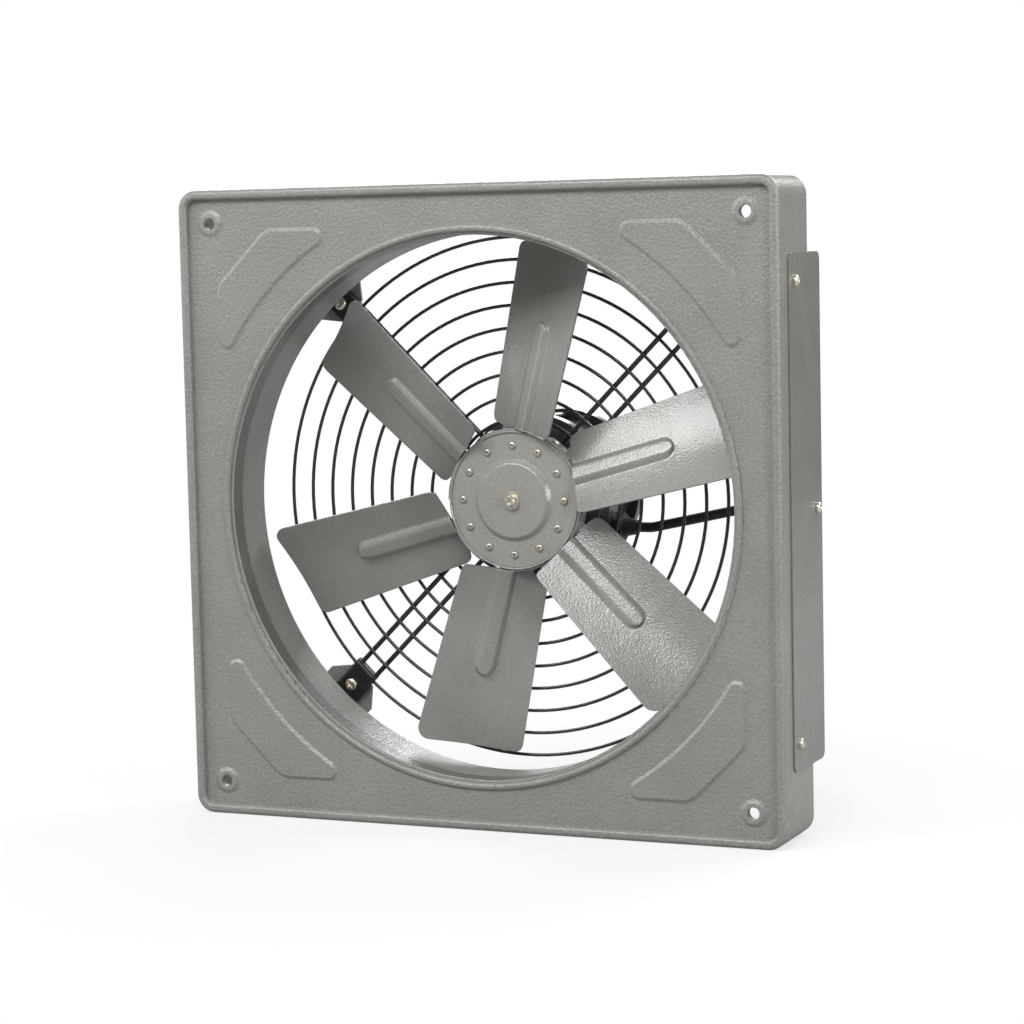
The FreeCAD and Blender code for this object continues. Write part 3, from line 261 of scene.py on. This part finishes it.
def product(tree, first, *others):
    """Values multiplied with each other; all but the first may be numbers."""
    for other in others:
        first = maths(tree, "MULTIPLY", first, other)
    return first


def bump(tree, height, depth_mm, under):
    """Normal of a height pattern that lies over another normal."""
    node = add(tree, "ShaderNodeBump", Strength=1.0, Distance=depth_mm / MM_PER_M)
    tree.links.new(height, node.inputs["Height"])
    tree.links.new(under, node.inputs["Normal"])
    return node.outputs["Normal"]


def edges(tree, radius_mm):
    """Rounded-edge normal, and a mask that is 1 on the edges and 0 on the faces."""
    soft = add(tree, "ShaderNodeBevel", samples=BEVEL_SAMPLES, Radius=radius_mm / MM_PER_M)
    flat = add(tree, "ShaderNodeNewGeometry")
    dot = add(tree, "ShaderNodeVectorMath", operation="DOT_PRODUCT")
    tree.links.new(soft.outputs["Normal"], dot.inputs[0])
    tree.links.new(flat.outputs["Normal"], dot.inputs[1])
    return soft.outputs["Normal"], span(tree, dot.outputs["Value"], EDGE_RANGE, (0.0, 1.0))


def times(colour, factor):
    """Colour made darker or lighter."""
    return tuple(c * factor for c in colour)


def tones(colour, factors):
    """A darker and a lighter tone of one colour."""
    return [times(colour, factor) for factor in factors]


def from_axis(tree):
    """Distance from the fan axis, and place along it."""
    place = add(tree, "ShaderNodeSeparateXYZ")
    tree.links.new(place_in_frame(tree), place.inputs["Vector"])
    x, y, z = (place.outputs[axis] for axis in "XYZ")
    square = maths(tree, "ADD", product(tree, x, x), product(tree, z, z))
    return maths(tree, "SQRT", square, 0.0), y


def metres(low_mm, high_mm):
    """Two limits in millimetres turned into metres."""
    return low_mm / MM_PER_M, high_mm / MM_PER_M


def root_mask(tree, start_mm, end_mm):
    """Uneven patch of painted shade: 1 where the blades leave the hub, fading out along them, and 0
    on the hub.
    """
    radius, _ = from_axis(tree)
    outside = span(tree, radius, metres(start_mm - ROOT_SOFT_MM, start_mm), (0, 1))
    fade = span(tree, radius, metres(start_mm, end_mm), (1, 0))
    uneven = span(tree, noise(tree, ROOT_CLOUD_MM, 3.0), CLOUD_RANGE, ROOT_CLOUD_VALUES)
    return product(tree, outside, fade, uneven)


def ring_mask(tree, inner_mm, outer_mm, front_mm, rear_mm):
    """1 between two radii round the fan axis and two depths along it, 0 elsewhere."""
    radius, y = from_axis(tree)
    steps = []
    for value, low, high in ((radius, inner_mm, outer_mm), (y, front_mm, rear_mm)):
        for at, values in ((low, (0, 1)), (high, (1, 0))):
            limits = metres(at - THROAT_SOFT_MM, at + THROAT_SOFT_MM)
            steps.append(span(tree, value, limits, values))
    return product(tree, *steps)


def sprayed_paint(name, colour, rough, peel_mm, peel_depth_mm, edge_mm=0.6, chip_and_highlight_mix=0.35,
                  coat=0.5, coat_rough=0.16, throat_shade=None, root_shade=None):
    """Enamel: pebbled film in clouds of tone, with painted shade in its pits and painted highlight
    on its crests, small chips with a painted highlight on the edges, and painted shade where given.
    """
    material, tree, bsdf = shader(name)
    soft, edge = edges(tree, edge_mm)
    tone = ramp(tree, noise(tree, PAINT_CLOUD_MM, 5.0), CLOUD_RANGE,
                tones(colour, PAINT_CLOUD_TONES))
    pebbles = noise(tree, peel_mm, PEBBLE_DETAIL, PEBBLE_ROUGH)
    # painted shade in the pebbles' pits and painted highlight on their crests, over the paint's own
    # speckle
    tone = mixed(tree, span(tree, pebbles, PIT_RANGE, PIT_MIX), tone, times(colour, PIT_SHADE_TONE))
    tone = mixed(tree, span(tree, pebbles, CREST_RANGE, CREST_MIX), tone, times(colour, CREST_HIGHLIGHT_TONE))
    # lighter edges: chips of wear and a painted highlight along the edges
    chip_and_highlight = span(tree, noise(tree, CHIP_MM, 4.0), CHIP_RANGE, (CHIP_LEAST, chip_and_highlight_mix))
    tone = mixed(tree, product(tree, edge, chip_and_highlight), tone, times(colour, CHIP_AND_HIGHLIGHT_TONE))
    # painted shade: a dark band on the throat's flange wall
    if throat_shade:
        shaded = product(tree, ring_mask(tree, *throat_shade), THROAT_SHADE_MIX)
        tone = mixed(tree, shaded, tone, times(colour, PAINTED_SHADE_TONE))
    # painted shade where the hub and the other blades shade the blades' roots
    if root_shade:
        shaded = product(tree, root_mask(tree, *root_shade), ROOT_SHADE_MIX)
        tone = mixed(tree, shaded, tone, times(colour, PAINTED_SHADE_TONE))
    tree.links.new(tone, bsdf.inputs["Base Color"])
    dull = span(tree, noise(tree, DULL_MM, 4.0), CLOUD_RANGE,
                (rough - DULL_LESS, rough + DULL_MORE))
    tree.links.new(dull, bsdf.inputs["Roughness"])
    bsdf.inputs["Coat Weight"].default_value = coat
    bsdf.inputs["Coat Roughness"].default_value = coat_rough
    waves = bump(tree, noise(tree, WAVE_MM, 2.0), WAVE_DEPTH_MM, soft)
    tree.links.new(bump(tree, pebbles, peel_depth_mm, waves), bsdf.inputs["Normal"])
    coat_peel = bump(tree, pebbles, COAT_PEEL * peel_depth_mm, waves)
    tree.links.new(coat_peel, bsdf.inputs["Coat Normal"])
    return material


def plain_metal(name, colour, rough, grain_mm=0.6, depth_mm=0.02, tint=None):
    """Bare or plated metal with fine grain, a slight play of colour and brighter edges."""
    material, tree, bsdf = shader(name)
    soft, edge = edges(tree, METAL_EDGE_MM)
    dark, light = tones(colour, METAL_CLOUD_TONES)
    tone = ramp(tree, noise(tree, METAL_CLOUD_MM, 3.0), CLOUD_RANGE, (dark, tint or light))
    rubbed = product(tree, edge, METAL_EDGE_MIX)
    tone = mixed(tree, rubbed, tone, times(colour, METAL_EDGE_TONE))
    tree.links.new(tone, bsdf.inputs["Base Color"])
    bsdf.inputs["Metallic"].default_value = 1.0
    grain = noise(tree, grain_mm, 2.0)
    dull = span(tree, grain, CLOUD_RANGE, (rough - METAL_DULL_LESS, rough + METAL_DULL_MORE))
    tree.links.new(dull, bsdf.inputs["Roughness"])
    tree.links.new(bump(tree, grain, depth_mm, soft), bsdf.inputs["Normal"])
    return material


def moulded_plastic(name, colour, rough):
    """Dark moulding with a faint grain, clouds of tone and rubbed edges."""
    material, tree, bsdf = shader(name)
    soft, edge = edges(tree, PLASTIC_EDGE_MM)
    tone = ramp(tree, noise(tree, PLASTIC_CLOUD_MM, 3.0), CLOUD_RANGE,
                tones(colour, PLASTIC_CLOUD_TONES))
    rubbed = product(tree, edge, PLASTIC_EDGE_MIX)
    tone = mixed(tree, rubbed, tone, times(colour, PLASTIC_EDGE_TONE))
    tree.links.new(tone, bsdf.inputs["Base Color"])
    dull = span(tree, noise(tree, PLASTIC_DULL_MM, 2.0), CLOUD_RANGE,
                (rough - PLASTIC_DULL_LESS, rough + PLASTIC_DULL_MORE))
    tree.links.new(dull, bsdf.inputs["Roughness"])
    grain = bump(tree, noise(tree, PLASTIC_GRAIN_MM, 2.0), PLASTIC_GRAIN_DEPTH_MM, soft)
    tree.links.new(grain, bsdf.inputs["Normal"])
    return material


MATERIALS = {
    "panel_paint": sprayed_paint("panel_paint", PAINT_GREY, rough=0.36, peel_mm=2.0,
                                 peel_depth_mm=0.85, coat=0.4, throat_shade=THROAT_SHADE),
    "blade_paint": sprayed_paint("blade_paint", BLADE_GREY, rough=0.3, peel_mm=1.5,
                                 peel_depth_mm=0.32, coat=0.9, coat_rough=0.1, root_shade=ROOT_SHADE),
    "guard_black": sprayed_paint("guard_black", SOOT_BLACK, rough=0.38, peel_mm=1.4,
                                 peel_depth_mm=0.05, edge_mm=0.2, chip_and_highlight_mix=0.1),
    "motor_black": sprayed_paint("motor_black", times(SOOT_BLACK, MOTOR_SHADE), rough=0.34,
                                 peel_mm=1.8, peel_depth_mm=0.12),
    "clamp_black": moulded_plastic("clamp_black", SOOT_BLACK, rough=0.4),
    "gland_plastic": moulded_plastic("gland_plastic", times(SOOT_BLACK, GLAND_SHADE), rough=0.45),
    "lead_rubber": moulded_plastic("lead_rubber", SOOT_BLACK, rough=0.5),
    "zinc_yellow": plain_metal("zinc_yellow", YELLOW_ZINC, rough=0.34, tint=YELLOW_ZINC_TINT),
    "zinc_plated": plain_metal("zinc_plated", GREY_ZINC, rough=0.4, tint=GREY_ZINC_TINT),
    "flange_grey": plain_metal("flange_grey", CAST_GREY, rough=0.5, grain_mm=1.5, depth_mm=0.08),
    "bare_steel": plain_metal("bare_steel", STEEL_GREY, rough=0.35),
}


def finish_nodes():
    """Each CAD node gets the finish of its slot; the side cover gets a darker copy of the panel
    paint, painted shade.
    """
    for part in frame["record"]["subparts"]:
        mesh = NODES[part["node"]].data
        mesh.materials.clear()
        mesh.materials.append(MATERIALS[part["material_slot"]])
    # painted shade: the side cover's paint darkened against the panel's
    shaded_cover_paint = sprayed_paint("shaded_cover_paint", times(PAINT_GREY, COVER_PAINTED_SHADE), rough=0.36,
                                peel_mm=2.0, peel_depth_mm=0.6)
    NODES["side_cover"].data.materials[0] = shaded_cover_paint


def in_scene(name, data):
    """New object in the scene."""
    thing = bpy.data.objects.new(name, data)
    bpy.context.scene.collection.objects.link(thing)
    return thing


def new_piece(name, verts, faces, body, slot, node=None):
    """Mesh in millimetres made into a piece that rides on a body and may stand for a CAD node."""
    mesh = bpy.data.meshes.new(name)
    mesh.from_pydata([Vector(v) / MM_PER_M for v in verts], [], faces)
    mesh.update()
    mesh.shade_smooth()
    mesh.set_sharp_from_angle(angle=math.radians(SHARP_DEG))
    mesh.materials.append(MATERIALS[slot])
    thing = in_scene(name, mesh)
    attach(thing, body)
    if node:
        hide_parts(node)


def rows_to_faces(rows, sectors):
    """Quads between closed rows of vertices, each row as long as the others."""
    faces = []
    for i in range(rows - 1):
        row, below = i * sectors, (i + 1) * sectors
        for j in range(sectors):
            k = (j + 1) % sectors
            faces.append((row + j, row + k, below + k, below + j))
    return faces


def lathe(profile, sectors, dip=None):
    """Surface of revolution round Z from (radius, z) rows from the top down, closed at both ends.

    dip(x, y, z) says how far a vertex sinks.
    """
    verts = []
    for radius, z in profile:
        for j in range(sectors):
            a = 2 * math.pi * j / sectors
            x, y = radius * math.cos(a), radius * math.sin(a)
            verts.append((x, y, z - (dip(x, y, z) if dip else 0.0)))
    faces = rows_to_faces(len(profile), sectors)
    top, bottom = len(verts), len(verts) + 1
    top_z, bottom_z = profile[0][1], profile[-1][1]
    top_dip = dip(0.0, 0.0, top_z) if dip else 0.0
    verts += [(0, 0, top_z - top_dip), (0, 0, bottom_z)]
    last_row = (len(profile) - 1) * sectors
    for j in range(sectors):
        k = (j + 1) % sectors
        faces += [(top, k, j), (bottom, last_row + j, last_row + k)]
    return verts, [tuple(reversed(f)) for f in faces]


def pan_head(head_d, head_h, shank_d):
    """Height of a pan head's side, and its rows from the middle of the dome to the shank."""
    radius, side = head_d / 2, HEAD_SIDE * head_h
    dome = [(radius * s, side + (head_h - side) * math.sqrt(1 - s ** 2)) for s in DOME_ROWS]
    foot = [(radius, HEAD_FOOT * head_h), (HEAD_FOOT_R * radius, 0.0), (shank_d / 2, 0.0)]
    return side, dome + [(radius, side)] + foot


def clamped(value):
    """Value kept between 0 and 1."""
    return min(1.0, max(0.0, value))


def screw_shape(head_d, head_h, shank_d, shank_length):
    """Pan-head screw along +Z: domed head with a cross recess, then a threaded shank."""
    side, profile = pan_head(head_d, head_h, shank_d)
    pitch = THREAD_PITCH * shank_d
    turns = max(LEAST_TURNS, int(shank_length / pitch))
    for i in range(turns):
        z = -shank_length * i / turns
        profile += [(THREAD_CORE_R * shank_d, z - CORE_AT * pitch),
                    (shank_d / 2, z - CREST_AT * pitch)]
    profile.append((THREAD_TIP_R * shank_d, -shank_length))
    radius = head_d / 2
    arm, half_slot, depth = RECESS_ARM * radius, RECESS_HALF * radius, RECESS_DEPTH * head_h

    def recess(x, y, z):
        """Depth of the cross recess at a place on the head."""
        if z < side:
            return 0.0
        across, along = min(abs(x), abs(y)), max(abs(x), abs(y))
        inside = clamped((half_slot - across) / (RECESS_WALL * half_slot) + 0.5)
        return depth * inside * clamped((arm - along) / (RECESS_SLOPE * arm))

    return lathe(profile, FASTENER_SECTORS, recess)


def rivet_shape(head_d, head_h, shank_d, shank_length):
    """Rivet along +Z: plain domed head, then a smooth shank with a bevelled end."""
    _, profile = pan_head(head_d, head_h, shank_d)
    bevel = RIVET_BEVEL * shank_d
    profile += [(shank_d / 2, bevel - shank_length), (shank_d / 2 - bevel, -shank_length)]
    return lathe(profile, FASTENER_SECTORS)


def placed(shape, place, outward, spin_deg):
    """Vertices of a shape along +Z moved to a place, pointing outward, spun about its own axis."""
    turn = Vector(outward).to_track_quat("Z", "Y").to_matrix().to_4x4()
    spin = Matrix.Rotation(math.radians(spin_deg), 4, "Z")
    matrix = Matrix.Translation(place) @ turn @ spin
    return [matrix @ Vector(v) for v in shape[0]]


def append_shape(verts, faces, new_verts, new_faces):
    """One more shape in a mesh of many."""
    start = len(verts)
    verts += new_verts
    faces += [tuple(start + i for i in f) for f in new_faces]


def fastener_group(name, node, body, slot, shape, places):
    """All the fasteners of one CAD node, each turned a little differently."""
    rng = random.Random(name)
    verts, faces = [], []
    for place, outward in places:
        turned = placed(shape, place, outward, rng.uniform(0, QUARTER_TURN))
        append_shape(verts, faces, turned, shape[1])
    new_piece(name, verts, faces, body, slot, node)


def round_axis(radius, degrees, y):
    """Point at a radius and an angle round the fan axis."""
    a = math.radians(degrees)
    return Vector((radius * math.cos(a), y, radius * math.sin(a)))


def fasteners():
    """Screws of the side cover, clamps, straps and hub, and the rivets of the blades' feet."""
    on_cover = [(Vector((COVER_FACE_X, y, z)), RIGHT) for y, z in COVER_SCREWS]
    on_clamps = [(round_axis(CLAMP_SCREW_R, a, CLAMP_FACE_Y), FRONT) for a in DIAGONALS]
    on_straps = [(round_axis(STRAP_SCREW_R, a, STRAP_FACE_Y), FRONT) for a in DIAGONALS]
    step = FULL_TURN / HUB_SCREW_COUNT
    on_hub = [(round_axis(HUB_SCREW_R, step * i, HUB_PLATE_Y), FRONT)
              for i in range(HUB_SCREW_COUNT)]
    on_feet = []
    for i in range(BLADE_COUNT):
        for side in (-0.5, 0.5):
            a = RIVET_FIRST_DEG + FULL_TURN * i / BLADE_COUNT + side * RIVET_SPREAD_DEG
            on_feet.append((round_axis(RIVET_R, a, RIVET_Y), round_axis(1.0, a, 0.0)))
    fastener_group("cover_screw_heads", "cover_screws", "frame", "zinc_yellow",
                   screw_shape(*COVER_SCREW), on_cover)
    fastener_group("clamp_screw_heads", "clamp_screws", "frame", "zinc_yellow",
                   screw_shape(*CLAMP_SCREW), on_clamps)
    fastener_group("strap_screw_heads", "strap_screws", "frame", "zinc_plated",
                   screw_shape(*STRAP_SCREW), on_straps)
    fastener_group("hub_screw_heads", "hub_screws", "impeller", "zinc_plated",
                   screw_shape(*HUB_SCREW), on_hub)
    fastener_group("rivet_heads", "blade_rivets", "impeller", "zinc_plated",
                   rivet_shape(*BLADE_RIVET), on_feet)


def weld_beads():
    """Small uneven lumps where each ring of the guard is welded to the bars behind it."""
    rng = random.Random(WELD_SEED)
    verts, faces = [], []
    lump = lathe(LUMP_ROWS, LUMP_SECTORS)
    ring_step = (RING_OUTER_R - RING_INNER_R) / (RING_COUNT - 1)
    for degrees in DIAGONALS:
        for side in (-1, 1):
            off_diagonal = round_axis(side * BAR_OFFSET, degrees + QUARTER_TURN, 0)
            for i in range(RING_COUNT):
                radius = RING_OUTER_R - i * ring_step
                along = math.sqrt(radius ** 2 - BAR_OFFSET ** 2)
                place = round_axis(along, degrees, WELD_Y) + off_diagonal
                grow = rng.uniform(*WELD_R)
                bead = []
                for v in placed(lump, Vector((0, 0, 0)), REAR, rng.uniform(0, FULL_TURN)):
                    height = v.z * grow * rng.uniform(*WELD_UNEVEN)
                    bead.append(place + Vector((v.x * grow, v.y * WELD_DEPTH, height)))
                append_shape(verts, faces, bead, lump[1])
    new_piece("guard_welds", verts, faces, "frame", "guard_black")


def camera():
    """Camera at the photograph's place, turned by its roll."""
    azimuth, elevation = math.radians(CAMERA_AZIMUTH), math.radians(CAMERA_ELEVATION)
    back = Vector((math.sin(azimuth) * math.cos(elevation),
                   -math.cos(azimuth) * math.cos(elevation), math.sin(elevation)))
    right = Vector((math.cos(azimuth), math.sin(azimuth), 0))
    turn = Matrix((right, back.cross(right), back)).transposed()
    roll = Matrix.Rotation(math.radians(CAMERA_ROLL), 3, "Z")
    data = bpy.data.cameras.new("camera")
    data.lens, data.sensor_width = CAMERA_LENS_MM, SENSOR_MM
    thing = in_scene("camera", data)
    place = Matrix.Translation(CAMERA_TARGET + back * CAMERA_DISTANCE)
    thing.matrix_world = place @ (turn @ roll).to_4x4()
    bpy.context.scene.camera = thing


def lamp(name, place, size, power):
    """Rectangular lamp that faces the middle of the fan."""
    data = bpy.data.lights.new(name, "AREA")
    data.shape = "RECTANGLE"
    data.size, data.size_y = size
    data.energy = power
    thing = in_scene(name, data)
    thing.location = place
    thing.rotation_euler = (-Vector(place)).to_track_quat("-Z", "Y").to_euler()


def seen_directly(tree):
    """1 for what the camera sees straight, 0 for light that the surface sends on."""
    return add(tree, "ShaderNodeLightPath").outputs["Is Camera Ray"]


def emission(tree, strength):
    """White glow."""
    return add(tree, "ShaderNodeEmission", Strength=strength).outputs["Emission"]


def floor():
    """White floor: it shows the object's shadow near the object and fades to plain white."""
    z = cad_box[0][2]
    corners = [(x * FLOOR_HALF, y * FLOOR_HALF, z) for x, y in ((-1, -1), (1, -1), (1, 1), (-1, 1))]
    mesh = bpy.data.meshes.new("floor")
    mesh.from_pydata(corners, [], [(0, 1, 2, 3)])
    thing = in_scene("floor", mesh)
    material, tree, bsdf = shader("floor_white")
    bsdf.inputs["Base Color"].default_value = FLOOR_GREY
    bsdf.inputs["Roughness"].default_value = 1.0
    bsdf.inputs["Specular IOR Level"].default_value = 0.0
    near = add(tree, "ShaderNodeAddShader")
    tree.links.new(bsdf.outputs["BSDF"], near.inputs[0])
    tree.links.new(emission(tree, FLOOR_GLOW), near.inputs[1])
    distance = add(tree, "ShaderNodeVectorMath", operation="LENGTH")
    tree.links.new(place_in_frame(tree), distance.inputs[0])
    fade = span(tree, distance.outputs["Value"], FLOOR_FADE, (0.0, 1.0))
    seen = mixed_shaders(tree, fade, near.outputs["Shader"], emission(tree, WHITE_STRENGTH))
    bounce = add(tree, "ShaderNodeBsdfDiffuse", Color=FLOOR_BOUNCE).outputs["BSDF"]
    surface = mixed_shaders(tree, seen_directly(tree), bounce, seen)
    tree.links.new(surface, tree.nodes["Material Output"].inputs["Surface"])
    mesh.materials.append(material)


def studio():
    """White backdrop, dim even light all round, and lamps in front, at both sides and behind."""
    world = bpy.data.worlds.new("studio")
    bpy.context.scene.world = world
    world.use_nodes = True
    tree = world.node_tree
    ambient = tree.nodes["Background"]
    ambient.inputs["Color"].default_value = WHITE
    ambient.inputs["Strength"].default_value = AMBIENT
    white = add(tree, "ShaderNodeBackground", Color=WHITE, Strength=WHITE_STRENGTH)
    surface = mixed_shaders(tree, seen_directly(tree), ambient.outputs["Background"],
                            white.outputs["Background"])
    tree.links.new(surface, tree.nodes["World Output"].inputs["Surface"])
    for name, place, size, power in LAMPS:
        lamp(name, place, size, power)


finish_nodes()
fasteners()
weld_beads()
camera()
floor()
studio()
bpy.context.scene.view_settings.view_transform = "Standard"
